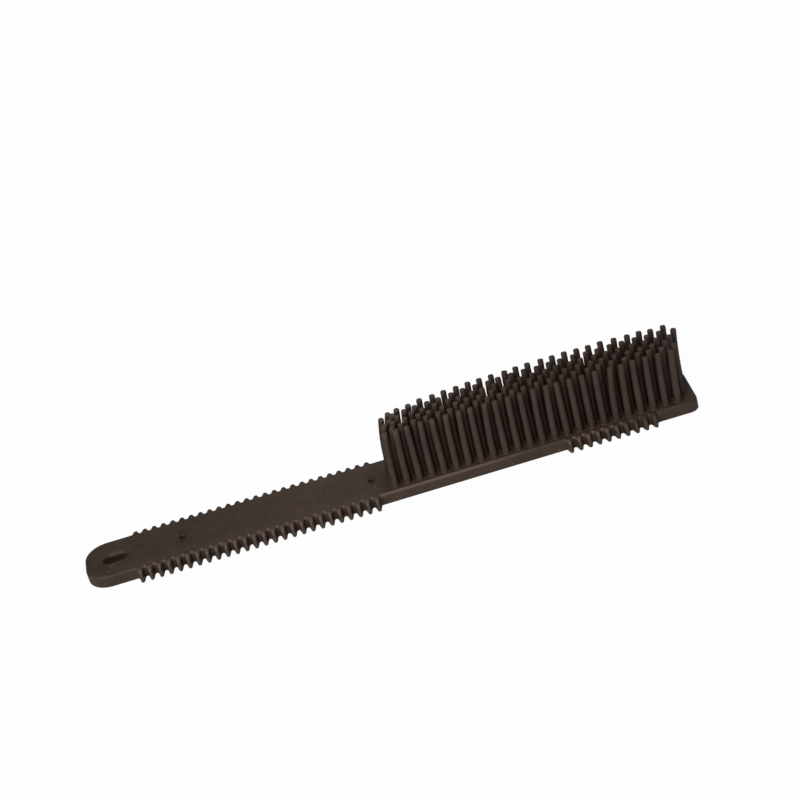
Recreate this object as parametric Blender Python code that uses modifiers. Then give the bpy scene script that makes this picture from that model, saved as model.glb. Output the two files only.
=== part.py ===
"""Pet hair removal brush: a straight bar of dark natural rubber, lying on its flat back.

One end is a grip with a row of edge teeth down each side and a hang slot in its tail.
The other end is the head, with six staggered rows of long rubber fingers standing on
it and a short row of edge teeth on each side near its tip.
The rubber is moulded round a flat steel core, which stops the bar from drooping.
The moulding is divided where its regions meet: tail, grip, head plate and finger rows.

Metres, +Z up. +X runs from the tail to the tip of the head, the fingers point up, and
the origin is under the middle of the whole part, on the surface that it lies on.
"""
import math

import bmesh
import bpy

# The bar
BODY_WIDTH = 0.0295
BODY_THICKNESS = 0.006
BACK_EDGE_ROUND = 0.0004
FACE_EDGE_ROUND = 0.0007
TAIL_CORNER_RADIUS = 0.011
TIP_CORNER_RADIUS = 0.0045
REGION_GAP = 0.0003
CORNER_STEPS = 7

# The edge teeth, bullet-shaped from above, whose tops round over and sink into the upper face
TOOTH_PITCH = 0.0045
GRIP_TOOTH_REACH = 0.0045
HEAD_TOOTH_REACH = 0.0039
TOOTH_TIP_RADIUS = 0.0008
TOOTH_ROOT_RADIUS = 0.00075
TOOTH_DROP = 0.0032
TOOTH_SHOULDER_SHARE = 0.64
TOOTH_TOP_SHARE = 0.24
TOOTH_TIP_STEPS = 2
TOOTH_ROOT_STEPS = 2
GRIP_TEETH = 26
HEAD_TEETH = 10

# The fingers
FINGER_HEIGHT = 0.028
FINGER_ROOT_RADIUS = 0.0017
FINGER_TIP_RADIUS = 0.0014
FINGER_TIP_ROUND = 0.0003
FINGER_PITCH = 0.0059
FINGER_SIDES = 8
FINGERS_IN_ROW = 24
EDGE_TO_ROW = 0.00375
ROW_COUNT = 6
STAGGER_SHARE = 0.5
LONG_ROW = 5
SLICE_THICKNESS = 0.0012
SLICE_END_MARGIN = 0.0001

# Places along the bar
TAIL_TO_GRIP_TEETH = 0.025
GRIP_TEETH_TO_FINGERS = 0.010
FINGERS_TO_HEAD_TEETH = 0.082
FINGERS_TO_TIP = 0.0088
TAIL_CUT_TO_TEETH = 0.00255
HEAD_CUT_TO_TEETH = 0.0032

# The hang slot
SLOT_LENGTH = 0.011
SLOT_WIDTH = 0.0062
SLOT_FROM_TAIL = 0.0144
SLOT_RIM_WIDTH = 0.0021
SLOT_RIM_DEPTH = 0.0019
SLOT_END_STEPS = 8

# The steel core and the two holes left by the pins that held it in the mould
CORE_WIDTH = 0.012
CORE_THICKNESS = 0.0012
CORE_FLOOR = 0.0017
CORE_TO_SLOT = 0.002
CORE_TO_TIP = 0.012
CORE_CLEARANCE = 0.0003
CORE_CORNER_ROUND = 0.0015
PIN_HOLE_RADIUS = 0.00125
PIN_HOLE_SIDES = 16
TAIL_PIN_TO_TEETH = 0.0217

# How far a cutter runs past the face that it opens, and how far a finger sinks into its slice
OVERRUN = 0.001
FINGER_SINK = 0.0004
MERGE_DISTANCE = 0.000001
CAP_UPRIGHT_SHARE = 0.999

# Worked out from the sizes above
FINGER_RUN = (FINGERS_IN_ROW - 1) * FINGER_PITCH
GRIP_TEETH_RUN = (GRIP_TEETH - 1) * TOOTH_PITCH
LENGTH = TAIL_TO_GRIP_TEETH + GRIP_TEETH_RUN + GRIP_TEETH_TO_FINGERS + FINGER_RUN + FINGERS_TO_TIP
HALF_WIDTH = BODY_WIDTH / 2
TAIL_X = -LENGTH / 2
TIP_X = LENGTH / 2
GRIP_TEETH_X = TAIL_X + TAIL_TO_GRIP_TEETH
GRIP_TEETH_END_X = GRIP_TEETH_X + GRIP_TEETH_RUN
FINGERS_X = GRIP_TEETH_END_X + GRIP_TEETH_TO_FINGERS
HEAD_TEETH_X = FINGERS_X + FINGERS_TO_HEAD_TEETH
TAIL_CUT_X = GRIP_TEETH_X - TAIL_CUT_TO_TEETH
HEAD_CUT_X = GRIP_TEETH_END_X + HEAD_CUT_TO_TEETH
SLOT_X = TAIL_X + SLOT_FROM_TAIL
CORE_START_X = SLOT_X + SLOT_LENGTH / 2 + CORE_TO_SLOT
CORE_END_X = TIP_X - CORE_TO_TIP
TAIL_PIN_X = GRIP_TEETH_X + TAIL_PIN_TO_TEETH
NECK_PIN_X = GRIP_TEETH_END_X
ROW_PITCH = (BODY_WIDTH - 2 * EDGE_TO_ROW) / (ROW_COUNT - 1)
SLICE_START_X = FINGERS_X - FINGER_ROOT_RADIUS - SLICE_END_MARGIN
SLICE_WIDTH = ROW_PITCH - REGION_GAP
RECESS_DEPTH = SLICE_THICKNESS + REGION_GAP

# Colours, as linear red, green and blue, with roughness and metallic
RUBBER_SHARES = ((0.042, 0.033, 0.027), 0.62, 0.0)
STEEL_SHARES = ((0.56, 0.57, 0.58), 0.35, 1.0)


def clear_scene():
    """Removes what the file opened with."""
    for item in list(bpy.data.objects):
        bpy.data.objects.remove(item, do_unlink=True)


def new_collection(name):
    """A collection linked to the scene."""
    group = bpy.data.collections.new(name)
    bpy.context.scene.collection.children.link(group)
    return group


def material(name, shares):
    """A plain material of one colour, roughness and metallic value."""
    colour, roughness, metallic = shares
    finish = bpy.data.materials.new(name)
    finish.use_nodes = True
    shader = finish.node_tree.nodes["Principled BSDF"]
    shader.inputs["Base Color"].default_value = (*colour, 1.0)
    shader.inputs["Roughness"].default_value = roughness
    shader.inputs["Metallic"].default_value = metallic
    finish.diffuse_color = (*colour, 1.0)
    return finish


def mesh_object(name, mesh, group):
    """An object for a mesh, in one of the two collections."""
    item = bpy.data.objects.new(name, mesh)
    group.objects.link(item)
    return item


def finish_part(item, shares):
    """Gives a sub-part its own material and smooth round faces."""
    item.data.materials.clear()
    item.data.materials.append(material(item.name + "_finish", shares))
    item.data.shade_smooth()
    item.data.set_sharp_from_angle(angle=math.radians(35))


def mark_as_cutter(item):
    """A cutter stays out of the render and out of the part."""
    item.hide_render = True
    item.display_type = "WIRE"
    return item


def extruded_outline(name, points, bottom, top, group):
    """A flat closed outline, filled and given its thickness."""
    curve = bpy.data.curves.new(name + "_outline", "CURVE")
    curve.dimensions = "2D"
    curve.fill_mode = "BOTH"
    curve.extrude = (top - bottom) / 2
    spline = curve.splines.new("POLY")
    spline.points.add(len(points) - 1)
    for point, (x, y) in zip(spline.points, points):
        point.co = (x, y, 0.0, 1.0)
    spline.use_cyclic_u = True
    guide = bpy.data.objects.new(name + "_guide", curve)
    guide.location.z = (top + bottom) / 2
    group.objects.link(guide)
    bpy.context.view_layer.update()
    evaluated = guide.evaluated_get(bpy.context.evaluated_depsgraph_get())
    mesh = bpy.data.meshes.new_from_object(evaluated)
    mesh.transform(guide.matrix_world)
    bpy.data.objects.remove(guide, do_unlink=True)
    form = bmesh.new()
    form.from_mesh(mesh)
    bmesh.ops.remove_doubles(form, verts=form.verts, dist=MERGE_DISTANCE)
    bmesh.ops.recalc_face_normals(form, faces=form.faces)
    caps = [face for face in form.faces if abs(face.normal.z) > CAP_UPRIGHT_SHARE]
    bmesh.ops.dissolve_faces(form, faces=caps)
    form.to_mesh(mesh)
    form.free()
    return mesh_object(name, mesh, group)


def lofted_outlines(name, sections, group):
    """A solid through flat outlines of as many points each, given upwards with their heights."""
    form = bmesh.new()
    rings = [[form.verts.new((x, y, height)) for x, y in points] for height, points in sections]
    for lower, upper in zip(rings, rings[1:]):
        for number in range(len(lower)):
            form.faces.new((lower[number - 1], lower[number], upper[number], upper[number - 1]))
    form.faces.new(reversed(rings[0]))
    form.faces.new(rings[-1])
    mesh = bpy.data.meshes.new(name)
    form.to_mesh(mesh)
    form.free()
    return mesh_object(name, mesh, group)


def box(name, start, end, group):
    """A block between two opposite corners."""
    form = bmesh.new()
    bmesh.ops.create_cube(form, size=1.0)
    for vert in form.verts:
        for axis in range(3):
            middle = (start[axis] + end[axis]) / 2
            vert.co[axis] = middle + vert.co[axis] * (end[axis] - start[axis])
    mesh = bpy.data.meshes.new(name)
    form.to_mesh(mesh)
    form.free()
    return mesh_object(name, mesh, group)


def apply_boolean(item, other, operation, solver="EXACT"):
    """Cuts a piece with another, or joins the two, and keeps the result as the piece's mesh."""
    change = item.modifiers.new(operation.title(), "BOOLEAN")
    change.operation = operation
    change.solver = solver
    change.object = other
    bpy.context.view_layer.update()
    evaluated = item.evaluated_get(bpy.context.evaluated_depsgraph_get())
    mesh = bpy.data.meshes.new_from_object(evaluated)
    item.modifiers.remove(change)
    item.data = mesh


def cut_bar(item, *cutters):
    """Cuts a region of the bar, whose tooth roots all lie in one line with its plain edge."""
    for cutter in cutters:
        apply_boolean(item, cutter, "DIFFERENCE", "MANIFOLD")


def arc(centre, radius, first, last, steps):
    """Points along an arc, its angles in degrees, both ends included."""
    turns = [math.radians(first + (last - first) * step / steps) for step in range(steps + 1)]
    return [(centre[0] + radius * math.cos(turn), centre[1] + radius * math.sin(turn)) for turn in turns]


def tooth_flank_angle(reach):
    """The lean of a tooth's flank, where it touches both the tip's round and the root's."""
    across = TOOTH_PITCH / 2
    along = reach - TOOTH_TIP_RADIUS - TOOTH_ROOT_RADIUS
    rounds = TOOTH_TIP_RADIUS + TOOTH_ROOT_RADIUS
    return math.degrees(math.acos(rounds / math.hypot(across, along)) - math.atan2(along, across))


def tooth_points(first, count, reach):
    """One side's teeth from the tail towards the tip, as places along the bar and reaches out of it."""
    lean = tooth_flank_angle(reach)
    half = TOOTH_PITCH / 2
    points = [(first - half, 0.0)]
    for number in range(count):
        middle = first + number * TOOTH_PITCH
        before = (middle - half, TOOTH_ROOT_RADIUS)
        after = (middle + half, TOOTH_ROOT_RADIUS)
        tip = (middle, reach - TOOTH_TIP_RADIUS)
        points += arc(before, TOOTH_ROOT_RADIUS, -90, -lean, TOOTH_ROOT_STEPS)[1:]
        points += arc(tip, TOOTH_TIP_RADIUS, 180 - lean, lean, TOOTH_TIP_STEPS)
        points += arc(after, TOOTH_ROOT_RADIUS, lean - 180, -90, TOOTH_ROOT_STEPS)
    return points


def bar_outline(inset, share):
    """The bar's section at one height, counterclockwise from the near corner of the tail.

    It draws in by inset all round, and its teeth have a share of their full reach.
    """
    teeth = tooth_points(GRIP_TEETH_X, GRIP_TEETH, GRIP_TOOTH_REACH * share)
    teeth += tooth_points(HEAD_TEETH_X, HEAD_TEETH, HEAD_TOOTH_REACH * share)
    side = HALF_WIDTH - inset
    tail = TAIL_CORNER_RADIUS
    tip = TIP_CORNER_RADIUS
    points = arc((TAIL_X + tail, tail - HALF_WIDTH), tail - inset, 180, 270, CORNER_STEPS)
    points += [(x, -side - out) for x, out in teeth]
    points += arc((TIP_X - tip, tip - HALF_WIDTH), tip - inset, 270, 360, CORNER_STEPS)
    points += arc((TIP_X - tip, HALF_WIDTH - tip), tip - inset, 0, 90, CORNER_STEPS)
    points += [(x, side + out) for x, out in reversed(teeth)]
    points += arc((TAIL_X + tail, HALF_WIDTH - tail), tail - inset, 90, 180, CORNER_STEPS)
    return points


def bar_sections():
    """The bar's sections from its back to its upper face, where its edge and its teeth round over."""
    return [(0.0, bar_outline(BACK_EDGE_ROUND, 1)),
            (BACK_EDGE_ROUND, bar_outline(0.0, 1)),
            (BODY_THICKNESS - TOOTH_DROP, bar_outline(0.0, 1)),
            (BODY_THICKNESS - FACE_EDGE_ROUND, bar_outline(0.0, TOOTH_SHOULDER_SHARE)),
            (BODY_THICKNESS, bar_outline(FACE_EDGE_ROUND, TOOTH_TOP_SHARE))]


def trim(item, place, keep):
    """Cuts a piece square across the bar at place, keeps the side named, and closes the cut."""
    form = bmesh.new()
    form.from_mesh(item.data)
    whole = form.verts[:] + form.edges[:] + form.faces[:]
    bmesh.ops.bisect_plane(form, geom=whole, dist=MERGE_DISTANCE, plane_co=(place, 0.0, 0.0),
                           plane_no=(1.0, 0.0, 0.0), clear_outer=keep == "tail", clear_inner=keep == "tip")
    rim = [edge for edge in form.edges if edge.is_boundary]
    bmesh.ops.contextual_create(form, geom=rim)
    bmesh.ops.recalc_face_normals(form, faces=form.faces)
    form.to_mesh(item.data)
    form.free()


def bar_region(name, start, end, group):
    """The stretch of the moulded bar between two cuts, where either may be absent."""
    item = lofted_outlines(name, bar_sections(), group)
    if start is not None:
        trim(item, start, "tip")
    if end is not None:
        trim(item, end, "tail")
    return item


def slot_outline(radius):
    """A slot along the bar with round ends, of the slot's own reach between their centres."""
    reach = (SLOT_LENGTH - SLOT_WIDTH) / 2
    points = arc((SLOT_X + reach, 0.0), radius, -90, 90, SLOT_END_STEPS)
    points += arc((SLOT_X - reach, 0.0), radius, 90, 270, SLOT_END_STEPS)
    return points


def slot_cutter(group):
    """The slot's own hole, right through the tail."""
    outline = slot_outline(SLOT_WIDTH / 2)
    top = BODY_THICKNESS + OVERRUN
    return mark_as_cutter(extruded_outline("slot_cutter", outline, -OVERRUN, top, group))


def slot_rim_cutter(group):
    """The slope down into the slot from the upper face."""
    floor = BODY_THICKNESS - SLOT_RIM_DEPTH
    top = BODY_THICKNESS + OVERRUN
    outline = slot_outline(SLOT_WIDTH / 2)
    item = mark_as_cutter(extruded_outline("slot_rim_cutter", outline, floor, top, group))
    reach = (SLOT_LENGTH - SLOT_WIDTH) / 2
    slope = SLOT_RIM_WIDTH / SLOT_RIM_DEPTH
    for vert in item.data.vertices:
        nearest = min(max(vert.co.x, SLOT_X - reach), SLOT_X + reach)
        growth = 1 + slope * (vert.co.z - floor) / (SLOT_WIDTH / 2)
        vert.co.x = nearest + (vert.co.x - nearest) * growth
        vert.co.y *= growth
    return item


def core_pocket(group):
    """The space in the rubber that the core fills, with its clearance all round."""
    side = CORE_WIDTH / 2 + CORE_CLEARANCE
    start = (CORE_START_X - CORE_CLEARANCE, -side, CORE_FLOOR - CORE_CLEARANCE)
    end = (CORE_END_X + CORE_CLEARANCE, side, CORE_FLOOR + CORE_THICKNESS + CORE_CLEARANCE)
    return mark_as_cutter(box("core_pocket_cutter", start, end, group))


def pin_hole(name, place, group):
    """A round hole from the upper face down to the core."""
    form = bmesh.new()
    depth = BODY_THICKNESS + OVERRUN - CORE_FLOOR - CORE_THICKNESS
    bmesh.ops.create_cone(form, cap_ends=True, segments=PIN_HOLE_SIDES, radius1=PIN_HOLE_RADIUS,
                          radius2=PIN_HOLE_RADIUS, depth=depth)
    bmesh.ops.translate(form, verts=form.verts, vec=(place, 0.0, BODY_THICKNESS + OVERRUN - depth / 2))
    mesh = bpy.data.meshes.new(name)
    form.to_mesh(mesh)
    form.free()
    return mark_as_cutter(mesh_object(name, mesh, group))


def row_end(row):
    """Where a row's slice ends: past its last finger, one stagger on for every row but the long one."""
    last = FINGERS_X + FINGER_RUN + STAGGER_SHARE * FINGER_PITCH
    if row == LONG_ROW:
        last = FINGERS_X + FINGER_RUN + FINGER_PITCH
    return last + FINGER_ROOT_RADIUS + SLICE_END_MARGIN


def row_middle(row):
    """How far across the bar a row stands, counted from the near side."""
    return (row - (ROW_COUNT + 1) / 2) * ROW_PITCH


def row_recess(row, group):
    """The shallow seat in the head plate for one row's slice."""
    side = ROW_PITCH / 2 + REGION_GAP / 2
    start = (SLICE_START_X - REGION_GAP, row_middle(row) - side, BODY_THICKNESS - RECESS_DEPTH)
    end = (row_end(row) + REGION_GAP, row_middle(row) + side, BODY_THICKNESS + OVERRUN)
    return mark_as_cutter(box(f"row_{row}_seat_cutter", start, end, group))


def finger_mesh(group):
    """One finger: a slim round post, tapered, with a small round at its flat top."""
    top = BODY_THICKNESS + FINGER_HEIGHT
    foot = BODY_THICKNESS - FINGER_SINK
    profile = [(0.0, top), (FINGER_TIP_RADIUS - FINGER_TIP_ROUND, top),
               (FINGER_TIP_RADIUS, top - FINGER_TIP_ROUND), (FINGER_ROOT_RADIUS, foot), (0.0, foot)]
    mesh = bpy.data.meshes.new("finger")
    edges = [(number, number + 1) for number in range(len(profile) - 1)]
    mesh.from_pydata([(x, 0.0, z) for x, z in profile], edges, [])
    item = mesh_object("finger_guide", mesh, group)
    turn = item.modifiers.new("Turn", "SCREW")
    turn.steps = FINGER_SIDES
    turn.render_steps = FINGER_SIDES
    turn.use_merge_vertices = True
    turn.merge_threshold = MERGE_DISTANCE
    bpy.context.view_layer.update()
    turned = bpy.data.meshes.new_from_object(item.evaluated_get(bpy.context.evaluated_depsgraph_get()))
    bpy.data.objects.remove(item, do_unlink=True)
    return turned


def finger_places(row):
    """Where a row's fingers stand along the bar: even rows half a pitch on, the long row one more."""
    shift = STAGGER_SHARE * FINGER_PITCH if row % 2 == 0 else 0.0
    count = FINGERS_IN_ROW + (1 if row == LONG_ROW else 0)
    return [FINGERS_X + shift + number * FINGER_PITCH for number in range(count)]


def finger_row(row, finger, parts, cutters):
    """A row of fingers on its slice of the head's upper face."""
    middle = row_middle(row)
    start = (SLICE_START_X, middle - SLICE_WIDTH / 2, BODY_THICKNESS - SLICE_THICKNESS)
    end = (row_end(row), middle + SLICE_WIDTH / 2, BODY_THICKNESS)
    item = box(f"finger_row_{row}", start, end, parts)
    form = bmesh.new()
    for place in finger_places(row):
        form.from_mesh(finger)
        newest = form.verts[-len(finger.vertices):]
        bmesh.ops.translate(form, verts=newest, vec=(place, middle, 0.0))
    mesh = bpy.data.meshes.new(f"row_{row}_fingers")
    form.to_mesh(mesh)
    form.free()
    posts = mark_as_cutter(mesh_object(f"row_{row}_fingers", mesh, cutters))
    apply_boolean(item, posts, "UNION")
    return item


def steel_core(group):
    """The flat strip inside the rubber, its four corners rounded."""
    radius = CORE_CORNER_ROUND
    side = CORE_WIDTH / 2
    corners = ((CORE_END_X - radius, side - radius, 0), (CORE_START_X + radius, side - radius, 90),
               (CORE_START_X + radius, radius - side, 180), (CORE_END_X - radius, radius - side, 270))
    points = []
    for x, y, first in corners:
        points += arc((x, y), radius, first, first + 90, CORNER_STEPS)
    return extruded_outline("steel_core", points, CORE_FLOOR, CORE_FLOOR + CORE_THICKNESS, group)


def build():
    """Makes every piece and cuts the seats between them."""
    clear_scene()
    parts = new_collection("pet_hair_removal_brush")
    cutters = new_collection("cutters")
    pocket = core_pocket(cutters)

    tail = bar_region("tail_end", None, TAIL_CUT_X - REGION_GAP / 2, parts)
    cut_bar(tail, slot_cutter(cutters), slot_rim_cutter(cutters), pocket)

    grip = bar_region("grip", TAIL_CUT_X + REGION_GAP / 2, HEAD_CUT_X - REGION_GAP / 2, parts)
    cut_bar(grip, pocket, pin_hole("tail_pin_cutter", TAIL_PIN_X, cutters),
            pin_hole("neck_pin_cutter", NECK_PIN_X, cutters))

    head = bar_region("head_plate", HEAD_CUT_X + REGION_GAP / 2, None, parts)
    cut_bar(head, pocket, *(row_recess(row, cutters) for row in range(1, ROW_COUNT + 1)))

    core = steel_core(parts)
    finger = finger_mesh(cutters)
    rows = [finger_row(row, finger, parts, cutters) for row in range(1, ROW_COUNT + 1)]

    for item in (tail, grip, head, *rows):
        finish_part(item, RUBBER_SHARES)
    finish_part(core, STEEL_SHARES)


build()
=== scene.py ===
"""Looks of the pet hair removal brush: one dark rubber moulding with standing fingers."""

import math
import random

import bmesh
import bpy
from mathutils import Matrix, Vector


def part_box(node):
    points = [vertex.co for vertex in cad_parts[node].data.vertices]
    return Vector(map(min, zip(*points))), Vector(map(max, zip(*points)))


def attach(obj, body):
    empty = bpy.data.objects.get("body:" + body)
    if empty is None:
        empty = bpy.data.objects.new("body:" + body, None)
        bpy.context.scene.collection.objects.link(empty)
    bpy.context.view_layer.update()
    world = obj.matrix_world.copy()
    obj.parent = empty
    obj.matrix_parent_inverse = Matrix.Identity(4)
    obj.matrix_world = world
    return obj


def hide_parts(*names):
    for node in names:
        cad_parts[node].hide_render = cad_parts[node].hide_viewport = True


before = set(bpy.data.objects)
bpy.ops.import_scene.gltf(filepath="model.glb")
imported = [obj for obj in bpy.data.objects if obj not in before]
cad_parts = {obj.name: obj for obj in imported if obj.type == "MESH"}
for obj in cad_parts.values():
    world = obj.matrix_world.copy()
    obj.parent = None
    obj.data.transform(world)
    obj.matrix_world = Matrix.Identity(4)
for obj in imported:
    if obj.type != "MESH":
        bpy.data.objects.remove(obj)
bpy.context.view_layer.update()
bpy.ops.object.select_all(action="DESELECT")

MM = 0.001
TINY = 0.001 * MM

# The bar, from the frame
TAIL_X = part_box("tail_end")[0].x
TIP_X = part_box("head_plate")[1].x
HALF_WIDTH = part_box("tail_end")[1].y
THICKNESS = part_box("head_plate")[1].z
GRIP_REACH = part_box("grip")[1].y - HALF_WIDTH
HEAD_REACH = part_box("head_plate")[1].y - HALF_WIDTH
FINGER_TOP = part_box("finger_row_1")[1].z - 0.1 * MM
CORE_LOW, CORE_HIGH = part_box("steel_core")

# The bar's outline, and the rounds along its two rims
TAIL_CORNER = 11 * MM
TIP_CORNER = 4.5 * MM
CORNER_STEPS = 12
BACK_ROUND = 0.4 * MM
BACK_STEPS = 3
FACE_ROUND = 1.1 * MM

# The edge teeth, whose noses drop off towards the upper face and sink into it
TOOTH_PITCH = 4.5 * MM
TOOTH_TIP = 0.8 * MM
TOOTH_ROOT = 0.75 * MM
TIP_STEPS = 5
ROOT_STEPS = 4
NOSE_DROP = 3.4 * MM
NOSE_SINK = 4.2 * MM
NOSE_STEPS = 7
GRIP_TEETH = 26
HEAD_TEETH = 10
GRIP_TEETH_X = TAIL_X + 25 * MM
FINGERS_X = GRIP_TEETH_X + (GRIP_TEETH - 1) * TOOTH_PITCH + 10 * MM
HEAD_TEETH_X = FINGERS_X + 82 * MM

# The hang slot, the pin holes and the core's pocket
SLOT_X = TAIL_X + 14.4 * MM
SLOT_LENGTH = 11 * MM
SLOT_WIDTH = 6.2 * MM
SLOT_LIP = 2.0 * MM
SLOT_SIDES = 34
LIP_STEPS = 6
PIN_XS = (GRIP_TEETH_X + 21.7 * MM, FINGERS_X - 10 * MM)
PIN_RADIUS = 1.25 * MM
PIN_LIP = 0.8 * MM
PIN_SIDES = 26
POCKET_CLEARANCE = 0.3 * MM
OVERRUN = 1 * MM

# The least angle, in degrees, at which an edge stays sharp
BAR_SHARP_ANGLE = 40
FINGER_SHARP_ANGLE = 50

# The fingers
FINGER_PITCH = 5.9 * MM
ROW_PITCH = 4.4 * MM
FINGERS_IN_ROW = 24
ROW_COUNT = 6
LONG_ROW = 5
STAGGER_SHARE = 0.5
FINGER_SIDES = 12
FINGER_ROOT = 1.7 * MM
FINGER_TIP = 1.4 * MM
FINGER_FILLET = 0.45 * MM
FILLET_STEPS = 3
FINGER_SINK = 0.3 * MM
FINGER_SHAFT_STEPS = 5
FINGER_RIM = 0.35 * MM
RIM_TURN = 80
RIM_STEPS = 2

# How far the fingers' tips lean in the front row and in the back row, along the bar towards its tip
# and across it towards its far side. TURN is added towards the tip and taken off towards the grip,
# ENDS is added at both ends, and FIRST is added for the first finger of each row. CHANCE is how far
# a finger strays from that.
FRONT_ALONG = 0.8 * MM
FRONT_ACROSS_TURN = -1.6 * MM
FIRST_ALONG = 1.5 * MM
BACK_ALONG = 0.95 * MM
BACK_ALONG_TURN = -0.3 * MM
BACK_ALONG_ENDS = 0.35 * MM
BACK_ACROSS = 3.2 * MM
BACK_ACROSS_TURN = 1.9 * MM
BACK_ACROSS_ENDS = -6.2 * MM
LEAN_CHANCE = 0.35 * MM
LEAN_SEED = 11

# The rubber's colours, from the deepest to the palest
# The deepest is painted shade in the slot's well, among the inner fingers and on the tail, and also darkens
# the tip's face and round the pin holes
RUBBER_DEEP = (0.020, 0.010, 0.006)
RUBBER_DARK = (0.042, 0.0235, 0.0155)
RUBBER_WARM = (0.051, 0.029, 0.0190)
# The pale bloom of the rubber in random patches, also used for painted light on the grip's shoulders and
# for painted highlights
RUBBER_BLOOM_AND_HIGHLIGHT = (0.085, 0.055, 0.040)
# The palest: dust specks, and also a faint painted highlight along the upper rim
RUBBER_DUST_AND_HIGHLIGHT = (0.20, 0.16, 0.13)

# The stretches along the bar over which a shade comes or goes
# The upper rim's painted highlight comes and goes over the first four of these stretches
GRIP_HIGHLIGHT_COMES = (GRIP_TEETH_X - 3 * MM, GRIP_TEETH_X)
GRIP_HIGHLIGHT_GOES = (30 * MM, 70 * MM)
HEAD_HIGHLIGHT_COMES = (80 * MM, 84 * MM)
HEAD_HIGHLIGHT_GOES = (95 * MM, 120 * MM)
PALER_NECK_COMES = (-110 * MM, -15 * MM)
PALER_NECK_GOES = (-15 * MM, FINGERS_X)
TAIL_SHADE_GOES = (GRIP_TEETH_X - 4 * MM, GRIP_TEETH_X)
TIP_HALF_COMES = (30 * MM, 75 * MM)
TIP_FACE_COMES = (TIP_X - 7 * MM, TIP_X - 5 * MM)
SHOULDER_GOES = (PIN_XS[1], FINGERS_X)

# The same across the bar, from its centreline
INNER_GOES = (8.2 * MM, 9.6 * MM)
SHOULDER_COMES = (8 * MM, 10.5 * MM)
RIM_COMES_ACROSS = (HALF_WIDTH - FACE_ROUND, HALF_WIDTH - 0.5 * FACE_ROUND)
TOOTH_TIP_COMES = (HALF_WIDTH + 0.45 * GRIP_REACH, HALF_WIDTH + GRIP_REACH)

# The same on the way up
RIM_COMES = (THICKNESS - 1.8 * MM, THICKNESS - 0.7 * MM)
UPPER_FACE_COMES = (THICKNESS - 0.3 * MM, THICKNESS)
TAIL_WALL_GOES = (0.8 * THICKNESS, THICKNESS)
INNER_COMES = (THICKNESS, THICKNESS + 2 * MM)
INNER_GOES_UP = (FINGER_TOP - 10 * MM, FINGER_TOP - 1.5 * MM)
FINGER_TIP_COMES = (FINGER_TOP - 3.5 * MM, FINGER_TOP - 0.5 * MM)

# The same for the slot's well, where shade is painted in, along and across the bar and on the way up, and
# round a pin hole
WELL_GOES_ALONG = (SLOT_LENGTH / 2, SLOT_LENGTH / 2 + SLOT_LIP)
WELL_GOES_ACROSS = (SLOT_WIDTH / 2, SLOT_WIDTH / 2 + 0.5 * SLOT_LIP)
WELL_GOES_UP = (THICKNESS - SLOT_LIP, THICKNESS - 0.5 * SLOT_LIP)
PIN_DARK_GOES_ALONG = (0.8 * MM, 2.2 * MM)
PIN_DARK_GOES_ACROSS = (3 * MM, 6 * MM)

# The rubber's relief: how wide each kind of feature is, and how high it stands
SWELL_SIZE = 9 * MM
SWELL_HEIGHT = 0.12 * MM
DIMPLE_SIZE = 1.6 * MM
DIMPLE_HEIGHT = 0.03 * MM
GRAIN_SIZE = 0.35 * MM
GRAIN_HEIGHT = 0.012 * MM

# The rubber's blotches: wide clouds, smaller patches, and specks of dust in loose groups
CLOUD_SIZE = 18 * MM
PATCH_SIZE = 5 * MM
SPECK_SPACING = 2.2 * MM
DUST_GROUP_SIZE = 4 * MM

# The steel's two greys, and how much its rolling streaks are drawn out along the bar
STEEL_DARK = (0.36, 0.36, 0.37)
STEEL_PALE = (0.62, 0.63, 0.64)
STREAK_STRETCH = (0.05, 1.0, 1.0)

# The places of a Mix node's colour sockets
MIX_FIRST = 6
MIX_SECOND = 7
MIX_RESULT = 2

# The lights: azimuth and elevation in degrees, distance and size in metres, and power in watts
FRONT_LIGHT = (-31, 40, 3.0, 2.4, 82.0)
BACK_LIGHT = (150, 55, 3.0, 2.0, 15.0)
SURROUND_LIGHT = 0.10

# The floor, and how much of it shows plain white to the camera
FLOOR_SIZE = 12.0
FLOOR_GREY = (0.86, 0.86, 0.86)
FLOOR_WHITE = 0.97

# The camera, as it stood over the brush, with the picture's own size in pixels
PICTURE = 800
SENSOR_MM = 36
CAMERA_DISTANCE = 1.05
CAMERA_AZIMUTH = -1.57
CAMERA_ELEVATION = 29.88
CAMERA_ROLL = -15.88
FOCAL_PIXELS = 2264.0
ORIGIN_PIXEL = (391.67, 485.2)


def activate(item):
    """Makes one object the only selected and active one."""
    bpy.ops.object.select_all(action="DESELECT")
    item.select_set(True)
    bpy.context.view_layer.objects.active = item


def edit(item):
    """Opens an object's mesh for editing, with nothing in it selected."""
    activate(item)
    bpy.ops.object.mode_set(mode="EDIT")
    bpy.ops.mesh.select_all(action="DESELECT")


def close_edit():
    """Goes back to object mode."""
    bpy.ops.object.mode_set(mode="OBJECT")


def pick(item, kind, wanted):
    """Selects the vertices, edges or faces of the open mesh that pass a test, and no others."""
    modes = {"verts": "VERT", "edges": "EDGE", "faces": "FACE"}
    bpy.ops.mesh.select_mode(type=modes[kind])
    bpy.ops.mesh.select_all(action="DESELECT")
    form = bmesh.from_edit_mesh(item.data)
    for element in getattr(form, kind):
        element.select_set(wanted(element))
    bmesh.update_edit_mesh(item.data)


def name_piece(item, name):
    """Names an object and its mesh."""
    item.name = name
    item.data.name = name
    return item


def apply_modifier(item, kind, **settings):
    """Adds a modifier with its settings and applies it."""
    activate(item)
    change = item.modifiers.new(kind.title(), kind)
    for key, value in settings.items():
        setattr(change, key, value)
    bpy.ops.object.modifier_apply(modifier=change.name)


def cut(item, cutter):
    """Cuts a closed form out of another and removes the cutter."""
    apply_modifier(item, "BOOLEAN", operation="DIFFERENCE", solver="MANIFOLD", object=cutter)
    bpy.data.objects.remove(cutter, do_unlink=True)


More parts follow.
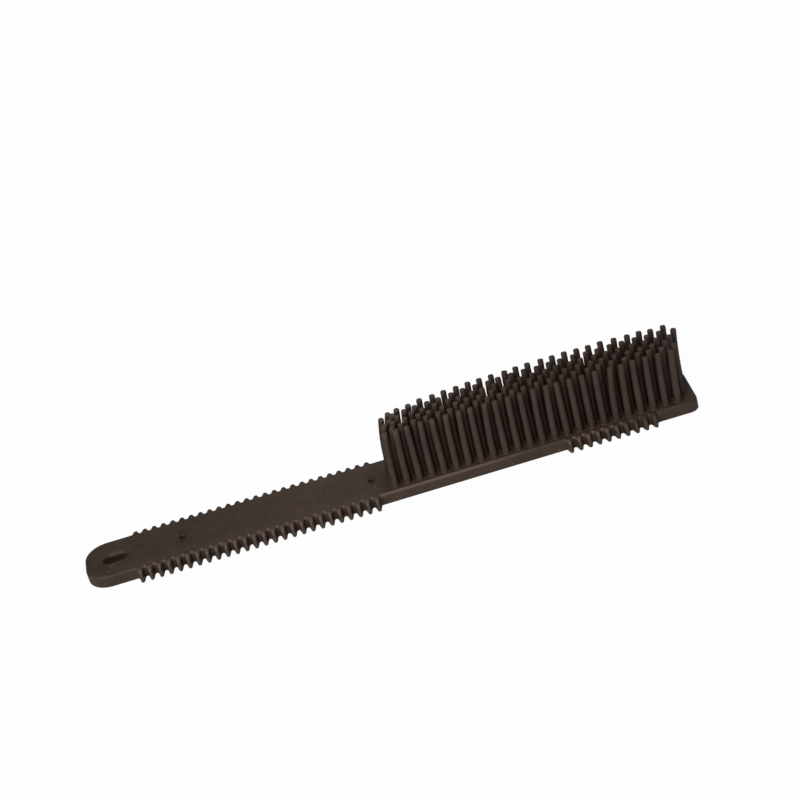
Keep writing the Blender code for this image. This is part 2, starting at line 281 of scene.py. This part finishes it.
class Pen:
    """Draws an outline on the floor plane of the open mesh, as lines and arcs from one vertex."""

    def __init__(self, name, start):
        bpy.ops.mesh.primitive_plane_add(size=MM, location=start)
        self.item = name_piece(bpy.context.object, name)
        bpy.ops.object.transform_apply(location=True, rotation=True, scale=True)
        edit(self.item)
        bpy.ops.mesh.select_all(action="SELECT")
        bpy.ops.mesh.merge(type="CENTER")
        self.place = Vector(start)

    def line(self, x, y):
        """A straight edge to a place."""
        target = Vector((x, y, 0.0))
        step = target - self.place
        bpy.ops.mesh.extrude_region_move(TRANSFORM_OT_translate={"value": step})
        self.place = target

    def arc(self, x, y, degrees, steps):
        """An arc about a centre, anticlockwise where degrees is above zero."""
        centre = Vector((x, y, 0.0))
        turn = math.radians(degrees)
        bpy.ops.mesh.spin(steps=steps, angle=turn, center=centre, axis=(0.0, 0.0, -1.0))
        self.place = centre + Matrix.Rotation(turn, 3, "Z") @ (self.place - centre)


def tooth_lean(reach):
    """The lean of a tooth's flank, in degrees, where it touches the tip's round and the root's."""
    across = TOOTH_PITCH / 2
    along = reach - TOOTH_TIP - TOOTH_ROOT
    rounds = TOOTH_TIP + TOOTH_ROOT
    return math.degrees(math.acos(rounds / math.hypot(across, along)) - math.atan2(along, across))


def draw_tooth(pen, middle, reach):
    """One tooth of the near edge: root arc, flank, blunt tip, flank, root arc."""
    lean = tooth_lean(reach)
    turn = math.radians(lean)
    half = TOOTH_PITCH / 2
    root_y = -HALF_WIDTH - TOOTH_ROOT
    tip_y = -HALF_WIDTH - reach + TOOTH_TIP
    touch_x = TOOTH_TIP * math.cos(turn)
    touch_y = TOOTH_TIP * math.sin(turn)
    root_touch_x = half - TOOTH_ROOT * math.cos(turn)
    root_touch_y = root_y + TOOTH_ROOT * math.sin(turn)
    pen.arc(middle - half, root_y, lean - 90, ROOT_STEPS)
    pen.line(middle - touch_x, tip_y - touch_y)
    pen.arc(middle, tip_y, 180 - 2 * lean, TIP_STEPS)
    pen.line(middle + root_touch_x, root_touch_y)
    pen.arc(middle + half, root_y, lean - 90, ROOT_STEPS)


def draw_teeth(pen, first, count, reach):
    """A run of teeth along the near edge."""
    pen.line(first - TOOTH_PITCH / 2, -HALF_WIDTH)
    for number in range(count):
        draw_tooth(pen, first + number * TOOTH_PITCH, reach)


def bar_levels():
    """The bar's section on its way up: its height, how far its edge draws in, and its teeth's share."""
    levels = []
    for step in range(BACK_STEPS + 1):
        turn = math.radians(90 * step / BACK_STEPS)
        levels.append((BACK_ROUND * (1 - math.cos(turn)), BACK_ROUND * (1 - math.sin(turn)), 1.0))
    for step in range(NOSE_STEPS + 1):
        turn = math.radians(90 * step / NOSE_STEPS)
        height = THICKNESS - NOSE_DROP * (1 - math.sin(turn))
        over = max(0.0, height - THICKNESS + FACE_ROUND)
        inset = FACE_ROUND - math.sqrt(FACE_ROUND ** 2 - over ** 2)
        levels.append((height, inset, 1.0 - (NOSE_SINK * (1 - math.cos(turn)) - inset) / GRIP_REACH))
    return levels


def reshape_section(bar, before, after):
    """Draws the bar's section at one height in from a level's edge and teeth to the next one's."""
    height, inset, share = after
    edge = HALF_WIDTH - before[1]
    start = TAIL_X + TAIL_CORNER + TINY
    end = TIP_X - TIP_CORNER - TINY
    for side in (-1, 1):
        pick(bar, "verts", lambda vert: vert.co.z > height - TINY and side * vert.co.y > edge + TINY)
        growth = share / before[2]
        bpy.ops.transform.resize(value=(1.0, growth, 1.0), center_override=(0.0, side * edge, height))
        pick(bar, "verts", lambda vert: vert.co.z > height - TINY and side * vert.co.y > 0
             and start < vert.co.x < end)
        bpy.ops.transform.translate(value=(0.0, side * (before[1] - inset), 0.0))
        for way, face, radius in ((-1, TAIL_X, TAIL_CORNER), (1, TIP_X, TIP_CORNER)):
            centre = Vector((face - way * radius, side * (HALF_WIDTH - radius), height))
            growth = (radius - inset) / (radius - before[1])
            pick(bar, "verts", lambda vert: vert.co.z > height - TINY
                 and way * (vert.co.x - centre.x) > -TINY and side * (vert.co.y - centre.y) > -TINY)
            bpy.ops.transform.resize(value=(growth, growth, 1.0), center_override=centre)


def bar_blank():
    """The bar before its holes: half an outline, mirrored, filled and raised level by level."""
    pen = Pen("moulded_bar", (TAIL_X, 0.0, 0.0))
    pen.line(TAIL_X, TAIL_CORNER - HALF_WIDTH)
    pen.arc(TAIL_X + TAIL_CORNER, TAIL_CORNER - HALF_WIDTH, 90, CORNER_STEPS)
    draw_teeth(pen, GRIP_TEETH_X, GRIP_TEETH, GRIP_REACH)
    draw_teeth(pen, HEAD_TEETH_X, HEAD_TEETH, HEAD_REACH)
    pen.line(TIP_X - TIP_CORNER, -HALF_WIDTH)
    pen.arc(TIP_X - TIP_CORNER, TIP_CORNER - HALF_WIDTH, 90, CORNER_STEPS)
    pen.line(TIP_X, 0.0)
    close_edit()
    bar = pen.item
    apply_modifier(bar, "MIRROR", use_axis=(False, True, False), merge_threshold=TINY)
    edit(bar)
    bpy.ops.mesh.select_all(action="SELECT")
    bpy.ops.mesh.remove_doubles(threshold=TINY)
    pick(bar, "verts", lambda vert: abs(vert.co.y) < TINY)
    bpy.ops.mesh.dissolve_verts()
    bpy.ops.mesh.select_all(action="SELECT")
    bpy.ops.mesh.edge_face_add()
    before = (0.0, 0.0, 1.0)
    for level in bar_levels():
        if level[0] > 0:
            pick(bar, "faces", lambda face: face.verts[0].co.z > before[0] - TINY and len(face.verts) > 4)
            rise = (0.0, 0.0, level[0] - before[0])
            bpy.ops.mesh.extrude_region_move(TRANSFORM_OT_translate={"value": rise})
        reshape_section(bar, before, level)
        before = level
    bpy.ops.mesh.select_all(action="SELECT")
    bpy.ops.mesh.normals_make_consistent(inside=False)
    close_edit()
    return bar


def round_cutter(name, place, radius, floor, lip, sides):
    """A round cutter that stands from floor to above the bar and flares into a lip at its top face."""
    low = THICKNESS - lip
    bpy.ops.mesh.primitive_cylinder_add(vertices=sides, radius=radius, depth=low - floor,
                                        location=(place, 0.0, (low + floor) / 2))
    item = name_piece(bpy.context.object, name)
    bpy.ops.object.transform_apply(location=True, rotation=True, scale=True)
    edit(item)
    pick(item, "faces", lambda face: face.normal.z > 0.5)
    reach, height = radius, low
    turns = [math.radians(90 * step / LIP_STEPS) for step in range(1, LIP_STEPS + 1)]
    rings = [(radius + lip * (1 - math.cos(turn)), low + lip * math.sin(turn)) for turn in turns]
    for ring_reach, ring_height in rings + [(radius + lip, THICKNESS + OVERRUN)]:
        rise = (0.0, 0.0, ring_height - height)
        bpy.ops.mesh.extrude_region_move(TRANSFORM_OT_translate={"value": rise})
        growth = ring_reach / reach
        bpy.ops.transform.resize(value=(growth, growth, 1.0), center_override=(place, 0.0, ring_height))
        reach, height = ring_reach, ring_height
    close_edit()
    return item


def slot_cutter():
    """The slot's cutter: a round one drawn apart along the bar."""
    item = round_cutter("slot_cutter", SLOT_X, SLOT_WIDTH / 2, -OVERRUN, SLOT_LIP, SLOT_SIDES)
    reach = (SLOT_LENGTH - SLOT_WIDTH) / 2
    edit(item)
    pick(item, "verts", lambda vert: vert.co.x > SLOT_X)
    bpy.ops.transform.translate(value=(reach, 0.0, 0.0))
    pick(item, "verts", lambda vert: vert.co.x < SLOT_X)
    bpy.ops.transform.translate(value=(-reach, 0.0, 0.0))
    close_edit()
    return item


def pocket_cutter():
    """The space that the core fills, with its clearance."""
    gap = Vector((POCKET_CLEARANCE, POCKET_CLEARANCE, POCKET_CLEARANCE))
    low = CORE_LOW - gap
    high = CORE_HIGH + gap
    bpy.ops.mesh.primitive_cube_add(size=1.0, location=(low + high) / 2, scale=high - low)
    item = name_piece(bpy.context.object, "pocket_cutter")
    bpy.ops.object.transform_apply(location=True, rotation=True, scale=True)
    return item


def smooth(item, degrees):
    """Smooth round faces and true flat ones."""
    activate(item)
    bpy.ops.object.shade_smooth_by_angle(angle=math.radians(degrees))
    apply_modifier(item, "WEIGHTED_NORMAL", keep_sharp=True, weight=100)


def moulded_bar():
    """The whole moulding without its fingers."""
    bar = bar_blank()
    cut(bar, pocket_cutter())
    cut(bar, slot_cutter())
    for number, place in enumerate(PIN_XS):
        hole = round_cutter(f"pin_cutter_{number}", place, PIN_RADIUS, CORE_HIGH.z, PIN_LIP, PIN_SIDES)
        cut(bar, hole)
    smooth(bar, BAR_SHARP_ANGLE)
    return bar


def finger_rings():
    """A finger's section from its foot to the rim of its top, as radius and height above the bar."""
    rings = [(FINGER_ROOT + FINGER_FILLET, -FINGER_SINK), (FINGER_ROOT + FINGER_FILLET, 0.0)]
    for step in range(1, FILLET_STEPS + 1):
        turn = math.radians(90 * step / FILLET_STEPS)
        rings.append((FINGER_ROOT + FINGER_FILLET * (1 - math.sin(turn)),
                      FINGER_FILLET * (1 - math.cos(turn))))
    tall = FINGER_TOP - THICKNESS - FINGER_RIM
    for step in range(1, FINGER_SHAFT_STEPS + 1):
        share = step / FINGER_SHAFT_STEPS
        rings.append((FINGER_ROOT + (FINGER_TIP - FINGER_ROOT) * share,
                      FINGER_FILLET + (tall - FINGER_FILLET) * share))
    for step in range(1, RIM_STEPS + 1):
        turn = math.radians(RIM_TURN * step / RIM_STEPS)
        rings.append((FINGER_TIP - FINGER_RIM * (1 - math.cos(turn)), tall + FINGER_RIM * math.sin(turn)))
    return rings


def finger(name):
    """One straight finger on the origin, drawn up from a circle."""
    rings = finger_rings()
    reach, height = rings[0]
    bpy.ops.mesh.primitive_circle_add(vertices=FINGER_SIDES, radius=reach, fill_type="NGON",
                                      location=(0.0, 0.0, height))
    item = name_piece(bpy.context.object, name)
    bpy.ops.object.transform_apply(location=True, rotation=True, scale=True)
    edit(item)
    bpy.ops.mesh.select_all(action="SELECT")
    for ring_reach, ring_height in rings[1:]:
        rise = (0.0, 0.0, ring_height - height)
        bpy.ops.mesh.extrude_region_move(TRANSFORM_OT_translate={"value": rise})
        growth = ring_reach / reach
        bpy.ops.transform.resize(value=(growth, growth, 1.0), center_override=(0.0, 0.0, ring_height))
        reach, height = ring_reach, ring_height
    bpy.ops.mesh.select_all(action="SELECT")
    bpy.ops.mesh.normals_make_consistent(inside=False)
    close_edit()
    return item


def tip_lean(row, place, chance):
    """How far a finger's tip leans, along and across the bar, for its row and its place in it."""
    back = (row - 1) / (ROW_COUNT - 1)
    end = 2 * place / FINGERS_IN_ROW - 1
    back_along = BACK_ALONG + BACK_ALONG_TURN * end + BACK_ALONG_ENDS * end ** 2
    along = FRONT_ALONG + (back_along - FRONT_ALONG) * back
    if place < 1:
        along += FIRST_ALONG
    front_across = FRONT_ACROSS_TURN * end
    back_across = BACK_ACROSS + BACK_ACROSS_TURN * end + BACK_ACROSS_ENDS * end ** 2
    across = front_across + (back_across - front_across) * back
    return Vector((along + chance.gauss(0, LEAN_CHANCE), across + chance.gauss(0, LEAN_CHANCE)))


def finger_row(row, pattern, chance):
    """A row of fingers, each a copy of the pattern, bent until its tip leans as far as it should."""
    middle = (row - (ROW_COUNT + 1) / 2) * ROW_PITCH
    shift = STAGGER_SHARE if row % 2 == 0 else 0.0
    count = FINGERS_IN_ROW + (1 if row == LONG_ROW else 0)
    copies = []
    for number in range(count):
        lean = tip_lean(row, number + shift, chance)
        copy = pattern.copy()
        copy.data = pattern.data.copy()
        bpy.context.scene.collection.objects.link(copy)
        bend = 2 * lean.length / (FINGER_TOP - THICKNESS)
        apply_modifier(copy, "SIMPLE_DEFORM", deform_method="BEND", angle=bend, deform_axis="Y")
        turn = Matrix.Rotation(math.atan2(lean.y, lean.x), 4, "Z")
        place = Vector((FINGERS_X + (number + shift) * FINGER_PITCH, middle, THICKNESS))
        copy.data.transform(Matrix.Translation(place) @ turn)
        copies.append(copy)
    activate(copies[0])
    for copy in copies:
        copy.select_set(True)
    bpy.ops.object.join()
    item = name_piece(bpy.context.object, f"fingers_{row}")
    smooth(item, FINGER_SHARP_ANGLE)
    return item


class Wire:
    """An output of a node. Arithmetic on it adds the nodes that work it out."""

    def __init__(self, nodes, socket):
        self.nodes = nodes
        self.socket = socket

    def maths(self, operation, *values):
        """A Math node on this wire and other values."""
        return self.nodes.node("ShaderNodeMath", {"operation": operation}, dict(enumerate((self, *values))))

    def __add__(self, other):
        return self.maths("ADD", other)

    __radd__ = __add__

    def __mul__(self, other):
        return self.maths("MULTIPLY", other)

    __rmul__ = __mul__

    def __sub__(self, other):
        return self.maths("SUBTRACT", other)

    def __rsub__(self, other):
        return self.nodes.node("ShaderNodeMath", {"operation": "SUBTRACT"}, {0: other, 1: self})

    def __abs__(self):
        return self.maths("ABSOLUTE")

    def between(self, low, high):
        """0 at low, 1 at high, and a smooth slope between them."""
        values = {"Value": self, "From Min": low, "From Max": high}
        return self.nodes.node("ShaderNodeMapRange", {"interpolation_type": "SMOOTHSTEP"}, values)


class Nodes:
    """The node tree of a material or of the world, under construction."""

    def __init__(self, owner):
        owner.use_nodes = True
        self.tree = owner.node_tree

    def node(self, kind, settings=None, values=None, output=0):
        """A node with its settings and the values or links of its sockets; gives one of its outputs."""
        made = self.tree.nodes.new(kind)
        for key, value in (settings or {}).items():
            setattr(made, key, value)
        for key, value in (values or {}).items():
            self.feed(made.inputs[key], value)
        return Wire(self, made.outputs[output])

    def feed(self, socket, value):
        """Links a wire to a socket, or sets the socket's own value."""
        if isinstance(value, Wire):
            self.tree.links.new(value.socket, socket)
        else:
            socket.default_value = value


class Finish(Nodes):
    """A procedural material under construction."""

    def __init__(self, name):
        self.material = bpy.data.materials.new(name)
        super().__init__(self.material)
        self.shader = self.tree.nodes["Principled BSDF"]
        self.place = self.node("ShaderNodeTexCoord", output="Object")

    def axes(self):
        """The three parts of the place on the object."""
        return [self.node("ShaderNodeSeparateXYZ", values={0: self.place}, output=axis) for axis in "XYZ"]

    def stretched(self, scale):
        """The place, scaled by an amount of its own along each axis."""
        return self.node("ShaderNodeMapping", values={"Vector": self.place, "Scale": scale})

    def noise(self, size, detail=3.0, rough=0.5, place=None):
        """Soft noise whose features are about size metres across."""
        values = {"Vector": place or self.place, "Scale": 1 / size, "Detail": detail, "Roughness": rough}
        return self.node("ShaderNodeTexNoise", values=values)

    def mix(self, share, first, second):
        """One colour to another by share."""
        colours = [colour if isinstance(colour, Wire) else (*colour, 1.0) for colour in (first, second)]
        values = {0: share, MIX_FIRST: colours[0], MIX_SECOND: colours[1]}
        return self.node("ShaderNodeMix", {"data_type": "RGBA"}, values, MIX_RESULT)

    def bump(self, height, depth, under=None):
        """A surface normal for a height of 0 to 1 that stands depth metres high."""
        values = {"Height": height, "Distance": depth, "Strength": 1.0}
        if under:
            values["Normal"] = under
        return self.node("ShaderNodeBump", values=values)


def painted_rim_highlight(x, across, z):
    """The upper rim's round where a highlight is painted on: along the grip and neck, and past the head's
    teeth.
    """
    rim_highlight = z.between(*RIM_COMES) * (1 - z.between(*UPPER_FACE_COMES)) * across.between(*RIM_COMES_ACROSS)
    highlit_grip = x.between(*GRIP_HIGHLIGHT_COMES) - x.between(*GRIP_HIGHLIGHT_GOES)
    return rim_highlight * (highlit_grip + x.between(*HEAD_HIGHLIGHT_COMES) - x.between(*HEAD_HIGHLIGHT_GOES))


def shaded_places(x, across, z, tip_half):
    """Where the rubber is darker: painted shade among the inner fingers and on the tail's wall, and darker
    on the tip's face and round the pin holes.
    """
    # Painted shade among the inner rows of fingers, low down between them
    inner = (1 - across.between(*INNER_GOES)) * z.between(*INNER_COMES) * (1 - z.between(*INNER_GOES_UP))
    # Painted shade on the tail below its upper face
    tail_wall = (1 - x.between(*TAIL_SHADE_GOES)) * (1 - z.between(*TAIL_WALL_GOES))
    # Darker on the upper face near the tip end
    tip_face = x.between(*TIP_FACE_COMES) * z.between(*UPPER_FACE_COMES)
    # Darker round the two pin holes
    pin_darkening = [1 - abs(x - place).between(*PIN_DARK_GOES_ALONG) for place in PIN_XS]
    darker_round_pins = (pin_darkening[0] + pin_darkening[1]) * (1 - across.between(*PIN_DARK_GOES_ACROSS)) * z.between(0, THICKNESS)
    return tail_wall * 0.35 + inner * (0.6 + tip_half * 0.25) + tip_face * 0.25 + darker_round_pins * 0.7


def shaded_slot_well(x, across, z):
    """The slot's inner wall below its lip, where shade is painted in."""
    well_shade = (1 - abs(x - SLOT_X).between(*WELL_GOES_ALONG)) * (1 - across.between(*WELL_GOES_ACROSS))
    return well_shade * (1 - z.between(*WELL_GOES_UP))


def dust(finish):
    """Small pale specks, here and there in loose groups."""
    values = {"Vector": finish.place, "Scale": 1 / SPECK_SPACING}
    cells = finish.node("ShaderNodeTexVoronoi", {"feature": "F1"}, values)
    specks = 1 - cells.between(0.08, 0.18)
    return specks * finish.noise(DUST_GROUP_SIZE, 1.0).between(0.60, 0.66)


def rubber():
    """Dark natural rubber, satin from the mould, paler towards the neck and dusty in places, with painted
    highlights on its rim, teeth and finger tips, painted light on the grip's shoulders, and painted shade
    in the slot, among the fingers and on the tail.
    """
    finish = Finish("moulded_rubber")
    x, y, z = finish.axes()
    across = abs(y)
    clouds = finish.noise(CLOUD_SIZE, 4.0, 0.55).between(0.38, 0.64)
    patches = finish.noise(PATCH_SIZE, 4.0, 0.6).between(0.46, 0.66)
    grain = finish.noise(GRAIN_SIZE, 2.0, 0.6)
    # Over the head's tip half the finger tips' painted highlight is weaker and the painted shade among the
    # fingers deeper
    tip_half = x.between(*TIP_HALF_COMES)
    # The teeth's noses and the finger tips take a painted highlight
    tooth_tips = across.between(*TOOTH_TIP_COMES)
    finger_tips = z.between(*FINGER_TIP_COMES)
    # A painted highlight along the upper rim's round
    rim_highlight = painted_rim_highlight(x, across, z)
    # The painted highlights together, on the teeth's noses, the finger tips and the upper rim
    painted_highlight = tooth_tips * 0.3 + finger_tips * (0.6 - tip_half * 0.5) + rim_highlight * 1.4
    # Paler along the grip towards the neck, fading again before the fingers
    paler_neck = x.between(*PALER_NECK_COMES) * (1 - x.between(*PALER_NECK_GOES))
    # Painted light along the grip's shoulders, standing in for the lighter shading of a rounded shoulder
    shoulder_light = across.between(*SHOULDER_COMES) * (1 - x.between(*SHOULDER_GOES))
    well_shade = shaded_slot_well(x, across, z)

    colour = finish.mix(clouds, RUBBER_DARK, RUBBER_WARM)
    colour = finish.mix(patches * 0.2 + shoulder_light * 0.1 + paler_neck * 0.3, colour, RUBBER_BLOOM_AND_HIGHLIGHT)
    colour = finish.mix(painted_highlight, colour, RUBBER_BLOOM_AND_HIGHLIGHT)
    colour = finish.mix(shaded_places(x, across, z, tip_half), colour, RUBBER_DEEP)
    # Painted shade in the slot's well
    colour = finish.mix(well_shade * 0.9, colour, RUBBER_DEEP)
    # Pale dust specks, and a faint painted highlight along the upper rim
    colour = finish.mix(dust(finish) * 0.9 + rim_highlight * 0.12, colour, RUBBER_DUST_AND_HIGHLIGHT)
    finish.feed(finish.shader.inputs["Base Color"], colour)

    roughness = 0.52 + clouds * 0.06 + grain * 0.1 - painted_highlight * 0.06 - well_shade * 0.3
    finish.feed(finish.shader.inputs["Roughness"], roughness)

    normal = finish.bump(finish.noise(SWELL_SIZE, 2.0, 0.5), SWELL_HEIGHT)
    normal = finish.bump(finish.noise(DIMPLE_SIZE, 3.0, 0.5), DIMPLE_HEIGHT, normal)
    normal = finish.bump(grain, GRAIN_HEIGHT, normal)
    finish.feed(finish.shader.inputs["Normal"], normal)
    finish.shader.inputs["Specular IOR Level"].default_value = 0.4
    return finish.material


def steel():
    """Dull rolled strip, seen only down the pin holes."""
    finish = Finish("core_strip_steel")
    streaks = finish.noise(MM, 3.0, 0.6, finish.stretched(STREAK_STRETCH))
    colour = finish.mix(streaks, STEEL_DARK, STEEL_PALE)
    finish.feed(finish.shader.inputs["Base Color"], colour)
    finish.feed(finish.shader.inputs["Roughness"], 0.3 + streaks * 0.2)
    finish.feed(finish.shader.inputs["Normal"], finish.bump(streaks, 0.01 * MM))
    finish.shader.inputs["Metallic"].default_value = 1.0
    return finish.material


def dress(item, material):
    """Gives an object one material."""
    item.data.materials.clear()
    item.data.materials.append(material)


def build_brush():
    """Every visible piece, its finish, and what it stands for in the frame."""
    skin = rubber()
    bar = moulded_bar()
    dress(bar, skin)
    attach(bar, "root")
    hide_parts("tail_end", "grip", "head_plate")
    chance = random.Random(LEAN_SEED)
    pattern = finger("finger_pattern")
    for row in range(1, ROW_COUNT + 1):
        fingers = finger_row(row, pattern, chance)
        dress(fingers, skin)
        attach(fingers, "root")
        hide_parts(f"finger_row_{row}")
    bpy.data.objects.remove(pattern, do_unlink=True)
    dress(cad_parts["steel_core"], steel())


def floor_white():
    """Plain white to the camera, over a pale matt surface that takes the brush's shadow."""
    material = bpy.data.materials.new("floor_white")
    nodes = Nodes(material)
    nodes.tree.nodes.remove(nodes.tree.nodes["Principled BSDF"])
    matt = nodes.node("ShaderNodeBsdfDiffuse", values={"Color": (*FLOOR_GREY, 1.0)})
    glow = nodes.node("ShaderNodeEmission")
    seen = nodes.node("ShaderNodeLightPath", output="Is Camera Ray")
    shown = nodes.node("ShaderNodeMixShader", values={0: seen * FLOOR_WHITE, 1: matt, 2: glow})
    nodes.feed(nodes.tree.nodes["Material Output"].inputs["Surface"], shown)
    return material


def build_floor():
    """The pale floor that the brush lies on."""
    bpy.ops.mesh.primitive_plane_add(size=FLOOR_SIZE)
    floor = name_piece(bpy.context.object, "floor")
    dress(floor, floor_white())


def view_back(azimuth, elevation):
    """The direction from the brush towards a viewer at an azimuth and elevation, in degrees."""
    turn = math.radians(azimuth)
    rise = math.radians(elevation)
    return Vector((math.sin(turn) * math.cos(rise), -math.cos(turn) * math.cos(rise), math.sin(rise)))


def area_light(name, azimuth, elevation, distance, size, power):
    """A square soft light that faces the brush from a direction, in degrees."""
    lamp = bpy.data.lights.new(name, "AREA")
    lamp.shape = "SQUARE"
    lamp.size = size
    lamp.energy = power
    item = bpy.data.objects.new(name, lamp)
    bpy.context.scene.collection.objects.link(item)
    back = view_back(azimuth, elevation)
    item.location = back * distance
    item.rotation_euler = back.to_track_quat("Z", "Y").to_euler()


def build_light():
    """Soft studio light from the front left, a weaker one from behind, and a dim even surround."""
    area_light("front_light", *FRONT_LIGHT)
    area_light("back_light", *BACK_LIGHT)
    world = bpy.data.worlds.new("studio")
    bpy.context.scene.world = world
    nodes = Nodes(world)
    surround = nodes.tree.nodes["Background"]
    surround.inputs["Color"].default_value = (1.0, 1.0, 1.0, 1.0)
    seen = nodes.node("ShaderNodeLightPath", output="Is Camera Ray")
    nodes.feed(surround.inputs["Strength"], seen * (1 - SURROUND_LIGHT) + SURROUND_LIGHT)


def build_camera():
    """The camera at the photograph's view: the middle of the brush falls on its pixel."""
    lens = bpy.data.cameras.new("camera")
    lens.sensor_width = SENSOR_MM
    lens.lens = FOCAL_PIXELS / PICTURE * SENSOR_MM
    camera = bpy.data.objects.new("camera", lens)
    bpy.context.scene.collection.objects.link(camera)
    back = view_back(CAMERA_AZIMUTH, CAMERA_ELEVATION)
    right = Vector((0.0, 0.0, 1.0)).cross(back).normalized()
    up = back.cross(right)
    roll = math.radians(CAMERA_ROLL)
    across = right * math.cos(roll) + up * math.sin(roll)
    upright = up * math.cos(roll) - right * math.sin(roll)
    aside = (ORIGIN_PIXEL[0] - PICTURE / 2) / FOCAL_PIXELS * CAMERA_DISTANCE
    above = (PICTURE / 2 - ORIGIN_PIXEL[1]) / FOCAL_PIXELS * CAMERA_DISTANCE
    turn = Matrix((across, upright, back)).transposed().to_4x4()
    place = back * CAMERA_DISTANCE - across * aside - upright * above
    camera.matrix_world = Matrix.Translation(place) @ turn
    bpy.context.scene.camera = camera


build_brush()
build_floor()
build_light()
build_camera()
bpy.context.scene.view_settings.view_transform = "Standard"
